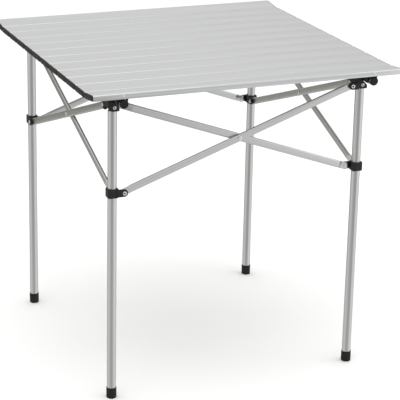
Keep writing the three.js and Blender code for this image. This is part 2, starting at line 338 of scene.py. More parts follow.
def turned(profile, facets, closed=False):
    """A ring drawn along a profile of (radius, height) about Z. A closed profile ends
    where it starts; an open one has a disc at each end."""
    deselect()
    fill = "NOTHING" if closed else "NGON"
    radius, height = profile[0]
    bpy.ops.mesh.primitive_circle_add(
        vertices=facets, radius=radius, fill_type=fill, location=(0, 0, height)
    )
    apply_place()
    piece = bpy.context.object
    edit(piece)
    bpy.ops.mesh.select_mode(type="EDGE")
    pick_all()
    steps = profile[1:] + (profile[:1] if closed else [])
    for next_radius, next_height in steps:
        bpy.ops.mesh.extrude_region()
        bpy.ops.transform.translate(value=(0, 0, next_height - height))
        ratio = next_radius / radius
        bpy.ops.transform.resize(value=(ratio, ratio, 1), center_override=(0, 0, next_height))
        radius, height = next_radius, next_height
    merge(1e-6)
    face_outwards()
    leave()
    return piece


def lay_grain(piece, axis="X"):
    """Keeps a piece's own coordinates, with its long axis first, for its drawn lines."""
    order = {"X": (0, 1, 2), "Y": (1, 2, 0), "Z": (2, 0, 1)}[axis]
    grain = piece.data.attributes.new("grain", "FLOAT_VECTOR", "POINT")
    for vertex, value in zip(piece.data.vertices, grain.data):
        value.vector = [vertex.co[i] for i in order]


def complete(piece, material, axis="X"):
    """The last touches to a modelled piece: shading, its grain and its material."""
    only(piece)
    bpy.ops.object.shade_smooth_by_angle(angle=SMOOTH_UNDER)
    lay_grain(piece, axis)
    piece.data.materials.clear()
    piece.data.materials.append(material)
    return piece


def copy_to(model, name, place, body, slot, *nodes):
    """A copy of a modelled piece at its place, moving with its CAD body."""
    only(model)
    bpy.ops.object.duplicate()
    piece = bpy.context.object
    piece.name = piece.data.name = name
    piece.matrix_world = place @ piece.matrix_world
    apply_place()
    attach(piece, body)
    if nodes:
        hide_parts(*nodes)
    return piece


def retire(*models):
    for model in models:
        bpy.data.objects.remove(model)


# --- Places taken from the CAD frame --------------------------------------------------


def centre(node):
    low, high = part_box(node)
    return (low + high) / 2


def shifted(x, y, z):
    return Matrix.Translation((x, y, z))


def quarter_turns(k):
    return Matrix.Rotation(k * math.pi / 2, 4, "Z")


def corner_place(k):
    """The frame of corner k: its leg's axis, with side k leaving it along x."""
    axis = centre("leg_" + CORNERS[k])
    return shifted(axis.x, axis.y, 0) @ quarter_turns(k)


def side_place(k):
    """The frame of side k: its middle, with x along it and y inwards."""
    middle_of_side = (centre("leg_" + CORNERS[k]) + centre("leg_" + CORNERS[(k + 1) % 4])) / 2
    return shifted(middle_of_side.x, middle_of_side.y, 0) @ quarter_turns(k)


def slat_place(number):
    """The frame of a slat, counted from 0 at the front: its first seam's edge at y = 0
    and its top face at z = 0. The two end slats tilt, and the front one is turned round."""
    sizes = bpy.context.scene.folding_table_top
    low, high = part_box(SLATS[number])
    tilt = Matrix.Rotation(math.atan2(sizes.rim_rise, sizes.rim_run), 4, "X")
    flat_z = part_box(SLATS[1])[1].z
    hinge = shifted(0, 0, -sizes.edge_radius)
    if number == 0:
        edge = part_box(SLATS[1])[0].y - sizes.seam_gap / 2
        turn = Matrix.Rotation(math.pi, 4, "Z")
        return shifted(0, edge, flat_z) @ hinge @ turn @ tilt @ hinge.inverted()
    if number == len(SLATS) - 1:
        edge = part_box(SLATS[-2])[1].y + sizes.seam_gap / 2
        return shifted(0, edge, flat_z) @ hinge @ tilt @ hinge.inverted()
    return shifted(0, low.y - sizes.seam_gap / 2, high.z)


def slat_widths():
    """Widths of a middle slat and of an end slat, from seam to seam or to the rim."""
    sizes = bpy.context.scene.folding_table_top
    low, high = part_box(SLATS[1])
    end = math.hypot(sizes.rim_rise, sizes.rim_run) + sizes.seam_gap / 2
    return high.y - low.y + sizes.seam_gap, end


def upper_pivot_z():
    return centre("eyelet_front_left").z - bpy.context.scene.folding_table_frame.pivot_below


def slider_pivot_z():
    return centre("slider_front_left").z


# --- Materials ------------------------------------------------------------------------


def add_node(tree, kind, settings=None, values=None, links=None):
    """One node with its settings, its sockets' values and its incoming links."""
    node = tree.nodes.new("ShaderNode" + kind)
    for name, value in (settings or {}).items():
        setattr(node, name, value)
    for socket, value in (values or {}).items():
        node.inputs[socket].default_value = value
    for socket, source in (links or {}).items():
        tree.links.new(source, node.inputs[socket])
    return node


def new_material(name):
    material = bpy.data.materials.new(name)
    material.use_nodes = True
    material.node_tree.nodes.clear()
    return material, material.node_tree


def add_surface(tree, values, links):
    shader = add_node(tree, "BsdfPrincipled", values=values, links=links)
    add_node(tree, "OutputMaterial", links={"Surface": shader.outputs["BSDF"]})


def drawn_aluminium(name, base, line, roughness, spacing_mm, depth_mm):
    """Clear anodised aluminium, pushed or drawn through a die, which leaves fine lines
    along its length: a satin metal, a little rougher in some lines than in others. Real
    lines are 0.1 to 0.3 mm apart and are drawn wider, so that they show."""
    material, tree = new_material(name)
    place = add_node(tree, "Attribute", {"attribute_name": "grain"})
    across = 1 / (spacing_mm * MM)
    stretch = add_node(
        tree,
        "Mapping",
        values={"Scale": (2.5, across, across)},
        links={"Vector": place.outputs["Vector"]},
    )
    lines = add_node(
        tree,
        "TexNoise",
        values={"Scale": 1.0, "Detail": 3.0, "Roughness": 0.6},
        links={"Vector": stretch.outputs["Vector"]},
    )
    etch = add_node(  # the sealed pores of the anodising, 0.8 mm clouds
        tree,
        "TexNoise",
        values={"Scale": 1 / (0.8 * MM), "Detail": 2.0},
        links={"Vector": place.outputs["Vector"]},
    )
    tone = add_node(tree, "ValToRGB", links={"Fac": lines.outputs["Fac"]})
    tone.color_ramp.elements[0].position, tone.color_ramp.elements[0].color = 0.35, line
    tone.color_ramp.elements[1].position, tone.color_ramp.elements[1].color = 0.65, base
    both = add_node(
        tree, "Math", {"operation": "ADD"}, links={0: lines.outputs["Fac"], 1: etch.outputs["Fac"]}
    )
    gloss = add_node(
        tree,
        "MapRange",
        values={
            "From Min": 0.6,
            "From Max": 1.4,
            "To Min": roughness - 0.04,
            "To Max": roughness + 0.05,
        },
        links={"Value": both.outputs["Value"]},
    )
    bump = add_node(
        tree,
        "Bump",
        values={"Strength": 0.25, "Distance": depth_mm * MM},
        links={"Height": lines.outputs["Fac"]},
    )
    add_surface(
        tree,
        {"Metallic": 1.0},
        {
            "Base Color": tone.outputs["Color"],
            "Roughness": gloss.outputs["Result"],
            "Normal": bump.outputs["Normal"],
        },
    )
    return material


def bright_aluminium(name, base):
    """Pressed aluminium rivets: bright, with the faint mottle of the setting tool."""
    material, tree = new_material(name)
    place = add_node(tree, "TexCoord")
    mottle = add_node(
        tree,
        "TexNoise",
        values={"Scale": 1 / (0.6 * MM), "Detail": 2.0},
        links={"Vector": place.outputs["Object"]},
    )
    gloss = add_node(
        tree,
        "MapRange",
        values={"From Min": 0.3, "From Max": 0.7, "To Min": 0.18, "To Max": 0.32},
        links={"Value": mottle.outputs["Fac"]},
    )
    bump = add_node(
        tree,
        "Bump",
        values={"Strength": 0.2, "Distance": 0.05 * MM},
        links={"Height": mottle.outputs["Fac"]},
    )
    add_surface(
        tree,
        {"Metallic": 1.0, "Base Color": base},
        {"Roughness": gloss.outputs["Result"], "Normal": bump.outputs["Normal"]},
    )
    return material


def grained_black(name, base, roughness, grain_mm, depth_mm):
    """A black moulding whose mould was spark-eroded: a fine pebbled skin that spreads
    its highlights."""
    material, tree = new_material(name)
    place = add_node(tree, "TexCoord")
    pebbles = add_node(
        tree,
        "TexVoronoi",
        {"feature": "SMOOTH_F1"},
        {"Scale": 1 / (grain_mm * MM)},
        {"Vector": place.outputs["Object"]},
    )
    clouds = add_node(  # uneven flow of the melt, in clouds of 9 mm
        tree,
        "TexNoise",
        values={"Scale": 1 / (9 * MM), "Detail": 2.0},
        links={"Vector": place.outputs["Object"]},
    )
    gloss = add_node(
        tree,
        "MapRange",
        values={
            "From Min": 0.3,
            "From Max": 0.7,
            "To Min": roughness - 0.06,
            "To Max": roughness + 0.06,
        },
        links={"Value": clouds.outputs["Fac"]},
    )
    bump = add_node(
        tree,
        "Bump",
        values={"Strength": 0.35, "Distance": depth_mm * MM},
        links={"Height": pebbles.outputs["Distance"]},
    )
    add_surface(
        tree,
        {"Base Color": base, "IOR": 1.53, "Specular IOR Level": 0.33},
        {"Roughness": gloss.outputs["Result"], "Normal": bump.outputs["Normal"]},
    )
    return material


def braided_cord(name, base):
    """Elastic cord in a braided polyester sleeve: dull black with slanting plaits."""
    material, tree = new_material(name)
    place = add_node(tree, "TexCoord")
    plaits = [
        add_node(
            tree,
            "TexWave",
            {"bands_direction": "DIAGONAL"},
            {"Scale": 1 / (4.5 * MM), "Distortion": 0.0},
            {
                "Vector": add_node(
                    tree,
                    "Mapping",
                    values={"Scale": (lean, 1, 1)},
                    links={"Vector": place.outputs["Object"]},
                ).outputs["Vector"]
            },
        )
        for lean in (-1, 1)
    ]
    crossed = add_node(
        tree,
        "Math",
        {"operation": "MAXIMUM"},
        links={0: plaits[0].outputs["Fac"], 1: plaits[1].outputs["Fac"]},
    )
    bump = add_node(
        tree,
        "Bump",
        values={"Strength": 0.6, "Distance": 0.2 * MM},
        links={"Height": crossed.outputs["Value"]},
    )
    add_surface(
        tree,
        {"Base Color": base, "Roughness": 0.85, "Sheen Weight": 0.2},
        {"Normal": bump.outputs["Normal"]},
    )
    return material


def finish_of(name):
    """A finish by its name, made the first time that a piece asks for it."""
    if name in bpy.data.materials:
        return bpy.data.materials[name]
    finishes = bpy.context.scene.folding_table_finishes
    if name == "Anodised extrusion":
        colours = finishes.slat, finishes.slat_line
        return drawn_aluminium(name, *colours, finishes.slat_roughness, 1.4, 0.03)
    if name == "Anodised tube":
        colours = finishes.tube, finishes.tube_line
        return drawn_aluminium(name, *colours, finishes.tube_roughness, 0.9, 0.02)
    if name == "Bright aluminium":
        return bright_aluminium(name, finishes.rivet)
    if name == "Black nylon":
        return grained_black(name, finishes.nylon, 0.5, 0.7, 0.05)
    if name == "Black rubber":
        return grained_black(name, finishes.rubber, 0.75, 0.5, 0.08)
    return braided_cord(name, finishes.cord)


# --- Tabletop -------------------------------------------------------------------------


def model_slat(width, half_length, depth, is_end):
    """The extruded channel of one slat, from its seam edge at y = 0. An end slat has no
    cord holes in its outer flange."""
    sizes = bpy.context.scene.folding_table_top
    near, far = sizes.seam_gap / 2, width - sizes.seam_gap / 2
    slat = block((-half_length, near, -depth), (half_length, far, 0))
    edit(slat)
    pick(slat, "FACE", lambda face: face.normal.z < -0.9 or abs(face.normal.x) > 0.9)
    bpy.ops.mesh.delete(type="FACE")
    for side_y, inwards in ((near, 1), (far, -1)):
        pick(
            slat,
            "EDGE",
            lambda edge: runs(edge, X)
            and middle(edge).z < -depth * 0.9
            and abs(middle(edge).y - side_y) < 0.1 * MM,
        )
        bpy.ops.mesh.extrude_region()
        bpy.ops.transform.translate(value=(0, inwards * sizes.lip, 0))
    pick(slat, "EDGE", lambda edge: runs(edge, X) and middle(edge).z > -0.1 * MM)
    bevel(sizes.edge_radius, 6)
    face_outwards()
    leave()
    top = max(slat.data.polygons, key=lambda face: face.area)
    if top.normal.z < 0:
        edit(slat)
        pick_all()
        bpy.ops.mesh.flip_normals()
        leave()
    finish_with(slat, "SOLIDIFY", thickness=sizes.wall, offset=-1, use_even_offset=True)
    soften(slat, 0.25 * MM, segments=2, angle=50)
    for side in (-1, 1):
        x = side * sizes.cord_spacing / 2
        start = (x, -width / 2, -sizes.cord_drop)
        end = (x, width / 2 if is_end else width * 1.5, -sizes.cord_drop)
        combine(slat, rod(sizes.cord_hole, start, end, 24), "DIFFERENCE")
    return slat


def model_cap(width, half_length, depth):
    """The black plug in a slat's right end: its face outside and its plug inside."""
    sizes = bpy.context.scene.folding_table_top
    inset = 0.25 * MM
    near = sizes.seam_gap / 2 + sizes.cap_shy
    far = width - near
    face_x = half_length + sizes.cap_thickness
    cap = block((half_length, near, -depth + inset), (face_x, far, -inset))
    edit(cap)
    pick(cap, "EDGE", lambda edge: runs(edge, X) and middle(edge).z > -depth / 2)
    bevel(sizes.edge_radius - inset, 6)
    pick(cap, "EDGE", lambda edge: runs(edge, X) and middle(edge).z < -depth * 0.9)
    bevel(3.6 * MM, 5)
    pick(cap, "FACE", lambda face: face.normal.x > 0.9)
    bpy.ops.mesh.region_to_loop()
    bevel(0.5 * MM, 3)
    leave()
    clear = sizes.wall + inset
    plug = block(
        (half_length - sizes.cap_plug, sizes.seam_gap / 2 + clear, -depth + clear),
        (half_length + 1 * MM, width - sizes.seam_gap / 2 - clear, -clear),
    )
    soften(plug, 1 * MM, 2)
    combine(cap, plug, "UNION")
    return cap


class FOLDINGTABLE_OT_slats(Operator):
    """Adds the twelve slats: open channels, round along their top edges, with holes for
    the cords and, in the two end ones, for the clips' rivets"""

    bl_idname = "folding_table.slats"
    bl_label = "Slats"

    def execute(self, context):
        sizes = context.scene.folding_table_top
        low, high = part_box(SLATS[1])
        half_length = high.x - sizes.cap_thickness
        middle_width, end_width = slat_widths()
        alloy = finish_of("Anodised extrusion")
        depth = high.z - low.z
        middle_slat = complete(model_slat(middle_width, half_length, depth, False), alloy)
        end_slat = model_slat(end_width, half_length, depth, True)
        for side in ("left", "right"):
            x = centre("leg_front_" + side).x
            start, end = (x, end_width - 4 * MM, -depth / 2), (x, end_width + 4 * MM, -depth / 2)
            combine(end_slat, rod(CLIP_RIVET_HOLE, start, end, 20), "DIFFERENCE")
        end_slat = complete(end_slat, alloy)
        last = len(SLATS) - 1
        for number, node in enumerate(SLATS):
            model = end_slat if number in (0, last) else middle_slat
            copy_to(model, "channel" + node[4:], slat_place(number), node, "slats", node)
        retire(middle_slat, end_slat)
        return {"FINISHED"}


class FOLDINGTABLE_OT_slat_caps(Operator):
    """Adds the black caps that close both ends of every slat"""

    bl_idname = "folding_table.slat_caps"
    bl_label = "Slat caps"

    def execute(self, context):
        sizes = context.scene.folding_table_top
        low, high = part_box(SLATS[1])
        half_length = high.x - sizes.cap_thickness
        nylon = finish_of("Black nylon")
        last = len(SLATS) - 1
        models = {}
        for kind, width in zip(("middle", "end"), slat_widths()):
            right = complete(model_cap(width, half_length, high.z - low.z), nylon)
            left = copy_mirrored(right)
            models[kind] = (left, right)
        for number, node in enumerate(SLATS):
            pair = models["end" if number in (0, last) else "middle"]
            for model, end in zip(pair, ("a", "b")):
                name = f"slat_cap{node[4:]}_{end}"
                copy_to(model, name, slat_place(number), node, "black_moulding")
        retire(*models["middle"], *models["end"])
        return {"FINISHED"}


def copy_mirrored(model):
    """The same model seen in a mirror across x = 0."""
    only(model)
    bpy.ops.object.duplicate()
    piece = bpy.context.object
    edit(piece)
    pick_all()
    bpy.ops.transform.mirror(constraint_axis=(True, False, False), center_override=(0, 0, 0))
    face_outwards()
    leave()
    return piece


def tube_along(points, radius, name):
    """A round tube on a smooth line through some points."""
    line = bpy.data.curves.new(name, "CURVE")
    line.dimensions = "3D"
    spline = line.splines.new("POLY")
    spline.points.add(len(points) - 1)
    for point, place in zip(spline.points, points):
        point.co = (*place, 1)
    line.bevel_depth = radius
    line.bevel_resolution = 3
    line.use_fill_caps = True
    piece = bpy.data.objects.new(name, line)
    bpy.context.collection.objects.link(piece)
    only(piece)
    bpy.ops.object.convert(target="MESH")
    return bpy.context.object


def braided(points, radius, name):
    """A smooth cord through some points, in its braided sleeve."""
    piece = tube_along(points, radius, name)
    only(piece)
    bpy.ops.object.shade_smooth()
    piece.data.materials.append(finish_of("Braided elastic"))
    return piece


class FOLDINGTABLE_OT_cords(Operator):
    """Adds the two elastic cords that string the slats, each in one stretch a seam, and
    the knots that end them inside the end slats"""

    bl_idname = "folding_table.cords"
    bl_label = "Elastic cords"

    def execute(self, context):
        sizes = context.scene.folding_table_top
        middle_width, _ = slat_widths()
        last = len(SLATS) - 1
        # points along a cord, closer together near its seam, where it bends
        ys = (20 * MM, 12 * MM, 6 * MM, 3 * MM, 1.5 * MM, 0.5 * MM)
        knotted = [y for y in ys if y <= KNOT_AT + 1 * MM]
        for side, label in ((-1, "left"), (1, "right")):
            x = side * sizes.cord_spacing / 2

            def at(number, y):
                across = -x if number == 0 else x
                return slat_place(number) @ Vector((across, y, -sizes.cord_drop))

            for number in range(last):
                if number == 0:
                    before = [at(0, y) for y in knotted]
                else:
                    before = [at(number, middle_width - y) for y in (middle_width / 2, *ys)]
                if number + 1 == last:
                    after = [at(last, y) for y in reversed(knotted)]
                else:
                    after = [at(number + 1, y) for y in (*reversed(ys), middle_width / 2)]
                name = f"cord_{label}_{number + 1:02d}"
                piece = braided(before + after, sizes.cord_radius, name)
                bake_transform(piece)
            for number, word in ((0, "front"), (last, "back")):
                turns = [2 * math.pi * i / 48 for i in range(48)]
                knot = [
                    at(number, KNOT_AT + 1.5 * MM)
                    + Vector(
                        (
                            (math.sin(t) + 2 * math.sin(2 * t)) * 1.1 * MM,
                            math.sin(3 * t) * 1.5 * MM,
                            (math.cos(t) - 2 * math.cos(2 * t)) * 1.0 * MM,
                        )
                    )
                    for t in turns
                ]
                name = f"cord_knot_{label}_{word}"
                piece = braided([*knot, knot[0]], sizes.cord_radius * 0.8, name)
                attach(piece, SLATS[number])
        return {"FINISHED"}


# --- Rails and their clips ------------------------------------------------------------


class FOLDINGTABLE_OT_rails(Operator):
    """Adds the two rail tubes and the black caps in their ends"""

    bl_idname = "folding_table.rails"
    bl_label = "Rails"

    def execute(self, context):
        sizes = context.scene.folding_table_rails
        facets = context.scene.folding_table_frame.facets
        low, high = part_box("rail_left")
        cap_low, cap_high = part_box("rail_cap_left_back")
        radius = (high.z - low.z) / 2
        half = high.y
        inner = radius - sizes.wall
        profile = [(inner, -half), (radius - 0.2 * MM, -half), (radius, -half + 0.2 * MM)]
        profile += [(radius, half - 0.2 * MM), (radius - 0.2 * MM, half), (inner, half)]
        tube = complete(turned(profile, facets, closed=True), finish_of("Anodised tube"), "Z")
        rim, face = (cap_high.z - cap_low.z) / 2, cap_high.y
        back = half + GAP
        plug = inner - GAP
        cap_profile = [  # from the plug's end to the dot in the face
            (plug - 0.6 * MM, half - 12 * MM),
            (plug, half - 11.4 * MM),
            (plug, back),
            (rim - 0.3 * MM, back),
            (rim, back + 0.3 * MM),
            (rim, face - 1.3 * MM),
            (rim - 0.35 * MM, face - 0.45 * MM),
            (rim - 1.1 * MM, face),
            (rim - 1.9 * MM, face),
            (rim - 2.3 * MM, face - 1.1 * MM),
            (rim - 3.8 * MM, face - 1.1 * MM),
            (rim - 4.2 * MM, face - 0.4 * MM),
            (2.4 * MM, face - 0.4 * MM),
            (1.9 * MM, face - 1.0 * MM),
            (1.3 * MM, face - 1.0 * MM),
            (1.0 * MM, face - 0.1 * MM),
            (0.6 * MM, face),
            (0.0, face),
        ]
        cap = complete(turned(cap_profile, facets), finish_of("Black nylon"), "Z")
        for side in ("left", "right"):
            at = centre("rail_" + side)
            for word, angle in (("front", math.pi / 2), ("back", -math.pi / 2)):
                place = shifted(at.x, 0, at.z) @ Matrix.Rotation(angle, 4, "X")
                body = "rail_" + side
                if word == "back":
                    copy_to(tube, f"rail_tube_{side}", place, body, "frame_tube", body)
                node = f"rail_cap_{side}_{word}"
                copy_to(cap, f"rail_end_{side}_{word}", place, body, "black_moulding", node)
        retire(tube, cap)
        return {"FINISHED"}


def model_clip(sizes, thick_side, rim_y, depth):
    """The saddle over a rail, with its rail's axis at x = 0: a thick cheek, a thin one,
    and a bridge inside the slat that runs to the rim, where its tab takes the rivet."""
    top = bpy.context.scene.folding_table_top
    wall, lip = top.wall, top.lip
    roof = -wall - GAP
    start, end = sizes.inset + GAP, sizes.inset + sizes.saddle
    under = -depth - 1 * MM

    def span(a, b):
        return sorted((thick_side * a, thick_side * b))

    def slab(xs, y0, y1, z0, z1):
        return block((xs[0], y0, z0), (xs[1], y1, z1))

    thick_xs = span(sizes.reach, sizes.reach + sizes.cheek)
    thick = slab(thick_xs, start, end, under - sizes.drop, roof)
    outer = Vector((thick_side * (sizes.reach + sizes.cheek), 0, under - 1 * MM))
    foot = Vector((thick_side * (sizes.reach + 1.5 * MM), 0, under - sizes.drop))
    slope = (foot - outer).cross(Y) * thick_side
    slice_off(thick, outer, slope if slope.x * thick_side > 0 else -slope)
    thin_xs = span(-sizes.reach - sizes.thin, -sizes.reach)
    thin = slab(thin_xs, start, end, under - sizes.drop / 2, roof)
    outer = Vector((thick_side * (-sizes.reach - sizes.thin), 0, under - 1 * MM))
    foot = Vector((thick_side * (-sizes.reach - 1.2 * MM), 0, under - sizes.drop / 2))
    slope = (foot - outer).cross(Y)
    slice_off(thin, outer, slope if slope.x * thick_side < 0 else -slope)
    bridge_xs = span(-sizes.reach - 1 * MM, sizes.reach + 1 * MM)
    bridge = slab(bridge_xs, start, rim_y - lip - GAP, -depth + GAP, roof)
    tab = slab(
        span(-sizes.reach - 0.4 * MM, sizes.reach + 0.4 * MM),
        rim_y - lip - 2 * MM,
        rim_y - wall - GAP,
        -depth + wall + GAP,
        roof - GAP,
    )
    for part in (thick, thin, bridge, tab):
        soften(part, sizes.soft, 2)
    for part in (thin, bridge, tab):
        combine(thick, part, "UNION")
    close_slits(thick)
    return thick


class FOLDINGTABLE_OT_rail_clips(Operator):
    """Adds the four black saddles over the rails and the rivets through the rims"""

    bl_idname = "folding_table.rail_clips"
    bl_label = "Rail clips"

    def execute(self, context):
        sizes = context.scene.folding_table_rails
        low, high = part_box(SLATS[1])
        depth = high.z - low.z
        rim_y = slat_widths()[1] - context.scene.folding_table_top.seam_gap / 2
        head = sizes.rivet_head
        rivet_profile = [
            (1.1 * MM, -0.2 * MM),
            (1.25 * MM, 0.55 * MM),
            (head * 0.7, 0.75 * MM),
            (head * 0.94, 0.5 * MM),
            (head, 0.1 * MM),
            (1.4 * MM, 0.1 * MM),
            (1.4 * MM, -6 * MM),
            (0.0, -6 * MM),
        ]
        rivet = complete(turned(rivet_profile, 24), finish_of("Bright aluminium"), "Z")
        for number, word in ((0, "front"), (len(SLATS) - 1, "back")):
            turn = -1 if number == 0 else 1
            clip = complete(model_clip(sizes, -turn, rim_y, depth), finish_of("Black nylon"))
            for side in ("left", "right"):
                rail_x = turn * centre("rail_" + side).x
                leg_x = turn * centre("leg_front_" + side).x
                body = SLATS[number]
                place = slat_place(number) @ shifted(rail_x, 0, 0)
                node = f"rail_clip_{side}_{word}"
                copy_to(clip, f"rail_saddle_{side}_{word}", place, body, "black_moulding", node)
                place = slat_place(number) @ shifted(leg_x, rim_y, -depth / 2)
                place = place @ Matrix.Rotation(-math.pi / 2, 4, "X")
                node = f"clip_rivet_{side}_{word}"
                copy_to(rivet, f"rim_rivet_{side}_{word}", place, body, "rivet", node)
            retire(clip)
        retire(rivet)
        return {"FINISHED"}


# --- Legs, brackets and sliders -------------------------------------------------------


class FOLDINGTABLE_OT_legs(Operator):
    """Adds the four leg tubes and their rubber feet"""

    bl_idname = "folding_table.legs"
    bl_label = "Legs and feet"

    def execute(self, context):
        sizes = context.scene.folding_table_frame
        low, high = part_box("leg_front_left")
        radius = (high.x - low.x) / 2
        inner = radius - sizes.leg_wall
        profile = [(inner, low.z), (radius, low.z), (radius, high.z), (inner, high.z)]
        leg = complete(turned(profile, sizes.facets, closed=True), finish_of("Anodised tube"), "Z")
        low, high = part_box("foot_front_left")
        outer, top = (high.x - low.x) / 2, high.z
        bore = radius + GAP
        foot_profile = [  # a cup, from the middle of its sole round to its floor
            (3.0 * MM, 0.6 * MM),
            (3.4 * MM, 0.0),
            (5.6 * MM, 0.0),
            (6.0 * MM, 0.6 * MM),
            (7.0 * MM, 0.6 * MM),
            (7.4 * MM, 0.0),
            (outer - 1.6 * MM, 0.0),
            (outer - 0.6 * MM, 0.35 * MM),
            (outer - 0.1 * MM, 1.1 * MM),
            (outer, 2.0 * MM),
            (outer, top - 3.2 * MM),
            (outer - 0.35 * MM, top - 2.9 * MM),
            (outer - 0.35 * MM, top - 2.3 * MM),
            (outer, top - 2.0 * MM),
            (outer, top - 0.5 * MM),
            (outer - 0.3 * MM, top),
            (bore + 0.1 * MM, top),
            (bore, top - 0.3 * MM),
            (bore, 4 * MM),
            (0.0, 4 * MM),
        ]
        foot = complete(turned(foot_profile, sizes.facets), finish_of("Black rubber"), "Z")
        for k, corner in enumerate(CORNERS):
            place, body = corner_place(k), "leg_" + corner
            copy_to(leg, "leg_tube_" + corner, place, body, "frame_tube", "leg_" + corner)
            copy_to(foot, "rubber_foot_" + corner, place, body, "foot_rubber", "foot_" + corner)
        retire(leg, foot)
        return {"FINISHED"}


def model_lug(sizes, plane, pivot_z, start):
    """A flat ear with a round end, in a corner's own frame, along x."""
    ys = sorted((plane * sizes.lug_near, plane * sizes.lug_far))
    end = sizes.pivot_offset + sizes.lug_radius
    low = (start, ys[0], pivot_z - sizes.lug_radius)
    high = (end, ys[1], pivot_z + sizes.lug_radius)
    lug = block(low, high)
    edit(lug)
    pick(lug, "EDGE", lambda edge: runs(edge, Y) and middle(edge).x > end - 0.1 * MM)
    bevel(sizes.lug_radius * 0.998, 12)
    merge(CORNER_MERGE)
    leave()
    soften(lug, sizes.moulded_edge, 3, 40)
    return lug


def swap_axes(piece):
    """Mirrors a piece across the diagonal, which turns x into y."""
    only(piece)
    swap = Matrix(((0, 1, 0, 0), (1, 0, 0, 0), (0, 0, 1, 0), (0, 0, 0, 1)))
    piece.matrix_world = swap @ piece.matrix_world
    apply_place()
    edit(piece)
    face_outwards()
    leave()
    return piece


class FOLDINGTABLE_OT_brackets(Operator):
    """Adds the four corner brackets: each has a sloping face that carries the rail, and
    two lugs for the upper ends of the bars"""

    bl_idname = "folding_table.brackets"
    bl_label = "Corner brackets"

    def execute(self, context):
        sizes = context.scene.folding_table_frame
        nylon = finish_of("Black nylon")
        pivot_z = upper_pivot_z()
        foot_z = pivot_z - sizes.bracket_foot
        rail, leg = centre("rail_left"), centre("leg_front_left")
        rail_low, rail_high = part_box("rail_left")
        rail_radius = (rail_high.z - rail_low.z) / 2
        top_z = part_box("bracket_front_left")[1].z
        leg_low, leg_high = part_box("leg_front_left")
        bore = (leg_high.x - leg_low.x) / 2 - sizes.leg_wall
        side = sizes.lug_far - LUG_PROUD
        slope_point = Vector((rail.x - leg.x, 0, rail.z))
        slope_point -= (X + Z).normalized() * (rail_radius + GAP)
        spigot_low, spigot_high = (0, 0, foot_z - 30 * MM), (0, 0, foot_z + 1.5 * MM)
        for k, corner in enumerate(CORNERS):
            body = block((-side, -side, foot_z), (BRACKET_HALF, side, top_z))
            slice_off(body, slope_point, X + Z)
            slice_off(body, Vector((-side, 0, foot_z + sizes.bracket_chamfer)), -X - Z)
            soften(body, sizes.moulded_edge, 3)
            spigot = rod(bore - GAP, spigot_low, spigot_high, sizes.facets)
            soften(spigot, 0.6 * MM, 2)
            combine(body, spigot, "UNION")
            turn = quarter_turns(k)
            starts = (BRACKET_HALF, sizes.lug_far)
            first, second = starts if k % 2 == 0 else reversed(starts)
            lugs = [
                model_lug(sizes, 1, pivot_z, first - LUG_ROOT),
                swap_axes(model_lug(sizes, -1, pivot_z, second - LUG_ROOT)),
            ]
            for lug in lugs:
                only(lug)
                lug.matrix_world = turn @ lug.matrix_world
                apply_place()
                combine(body, lug, "UNION")
            eyelet_z = centre("eyelet_" + corner).z
            start, end = (0, -20 * MM, eyelet_z), (0, 20 * MM, eyelet_z)
            combine(body, rod(EYELET_HOLE, start, end, 24), "DIFFERENCE")
            close_slits(body)
            complete(body, nylon)
            place, node = shifted(*corner_place(k).translation), "bracket_" + corner
            copy_to(body, "corner_" + node, place, "leg_" + corner, "black_moulding", node)
            retire(body)
        return {"FINISHED"}


class FOLDINGTABLE_OT_eyelets(Operator):
    """Adds the hollow rivets through the brackets and the legs"""

    bl_idname = "folding_table.eyelets"
    bl_label = "Eyelets"

    def execute(self, context):
        low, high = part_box("eyelet_front_left")
        end, radius = (high.y - low.y) / 2, (high.z - low.z) / 2
        bore, shank = 1.7 * MM, 2.4 * MM
        face = context.scene.folding_table_frame.lug_far + 0.1 * MM
        half_profile = [
            (bore, end - 0.5 * MM),
            (bore + 0.35 * MM, end - 0.1 * MM),
            (bore + 0.8 * MM, end),
            (radius - 0.9 * MM, end - 0.1 * MM),
            (radius - 0.25 * MM, face + 0.6 * MM),
            (radius, face),
            (shank, face),
        ]
        profile = half_profile + [(r, -z) for r, z in reversed(half_profile)]
        eyelet = complete(turned(profile, 32, closed=True), finish_of("Bright aluminium"), "Z")
        for corner in CORNERS:
            at = centre("eyelet_" + corner)
            place = shifted(at.x, at.y, at.z) @ Matrix.Rotation(math.pi / 2, 4, "X")
            name, node = "hollow_rivet_" + corner, "eyelet_" + corner
            copy_to(eyelet, name, place, "leg_" + corner, "rivet", node)
        retire(eyelet)
        return {"FINISHED"}


class FOLDINGTABLE_OT_sliders(Operator):
    """Adds the four collars that slide on the legs, each with two lugs"""

    bl_idname = "folding_table.sliders"
    bl_label = "Sliders"

    def execute(self, context):
        sizes = context.scene.folding_table_frame
        leg_low, leg_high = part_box("leg_front_left")
        low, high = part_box("slider_front_left")
        pivot_z = slider_pivot_z()
        half = sizes.slider_half
        collar = block((-half, -half, low.z), (half, half, high.z))
        edit(collar)
        pick(collar, "EDGE", lambda edge: runs(edge, Z))
        bevel(sizes.slider_corner, 6)
        leave()
        soften(collar, 1.8 * MM, 3, 50)
        lugs = [
            model_lug(sizes, -1, pivot_z, 5 * MM), swap_axes(model_lug(sizes, 1, pivot_z, 5 * MM))
        ]
        for lug in lugs:
            combine(collar, lug, "UNION")
        bore = (leg_high.x - leg_low.x) / 2 + GAP
        start, end = (0, 0, low.z - 5 * MM), (0, 0, high.z + 5 * MM)
        combine(collar, rod(bore, start, end, sizes.facets), "DIFFERENCE")
        complete(collar, finish_of("Black nylon"))
        for k, corner in enumerate(CORNERS):
            node = "slider_" + corner
            copy_to(collar, "leg_slider_" + corner, corner_place(k), node, "black_moulding", node)
        retire(collar)
        return {"FINISHED"}


